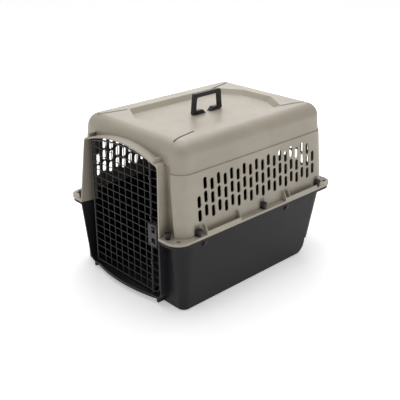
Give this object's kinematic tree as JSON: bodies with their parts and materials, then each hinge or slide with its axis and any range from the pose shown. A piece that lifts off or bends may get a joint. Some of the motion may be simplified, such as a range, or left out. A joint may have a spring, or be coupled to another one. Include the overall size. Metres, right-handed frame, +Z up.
{
  "type": "pet transport carrier",
  "caption": "Two-part moulded pet carrier with vented drafted walls, a front wire door with a squeeze latch, clamped flanges and a folding top handle.",
  "frame": {"origin": "centre of the overall footprint at the underside of the base", "axes": "+X to the right seen from the door, +Y from the door towards the rear wall, +Z up"},
  "size_m": [0.533, 0.711, 0.559],
  "materials": {
    "shell_beige": "fine moulded texture",
    "shell_grey": "fine moulded texture",
    "handle_black": "satin moulded",
    "nut_brown": "satin moulded",
    "bolt_steel": "zinc plated",
    "latch_grey": "satin moulded",
    "door_wire": "black coated wire"
  },
  "bodies": {
    "shell": {"upper_shell": "shell_beige", "lower_shell": "shell_grey", "flange_bolts": "bolt_steel", "wing_nuts": "nut_brown", "handle_bracket_front": "handle_black", "handle_bracket_rear": "handle_black"},
    "door": {"door_hinge_rod": "door_wire", "door_border_wire": "door_wire", "door_vertical_wires": "door_wire", "door_horizontal_wires": "door_wire", "latch_plate": "latch_grey", "latch_backing": "latch_grey", "latch_rivets": "bolt_steel", "latch_rod_guides": "latch_grey", "latch_upper_spring": "bolt_steel", "latch_lower_spring": "bolt_steel"},
    "upper_bolt": {"latch_upper_slide": "latch_grey", "latch_upper_rod": "door_wire"},
    "lower_bolt": {"latch_lower_slide": "latch_grey", "latch_lower_rod": "door_wire"},
    "grip": {"handle": "handle_black"}
  },
  "joints": [
    {"name": "door_hinge", "type": "hinge", "parent": "shell", "child": "door", "pos_m": [-0.156, -0.326, 0.24], "axis": [0, 0, 1], "range_deg": [-95, 0]},
    {"name": "upper_bolt_slide", "type": "slide", "parent": "door", "child": "upper_bolt", "axis": [0, 0, 1], "range_m": [-0.008, 0], "stiffness_N_per_m": 300, "springref_m": 0.004, "deforming": ["latch_upper_spring"]},
    {"name": "lower_bolt_slide", "type": "slide", "parent": "door", "child": "lower_bolt", "axis": [0, 0, 1], "range_m": [0, 0.008], "stiffness_N_per_m": 300, "springref_m": -0.004, "deforming": ["latch_lower_spring"]},
    {"name": "handle_hinge", "type": "hinge", "parent": "shell", "child": "grip", "pos_m": [0, 0.013, 0.4988], "axis": [0, 1, 0], "range_deg": [-88, 88]}
  ],
  "couplings": [
    {"joint": "lower_bolt_slide", "follows": "upper_bolt_slide", "ratio": -1}
  ]
}
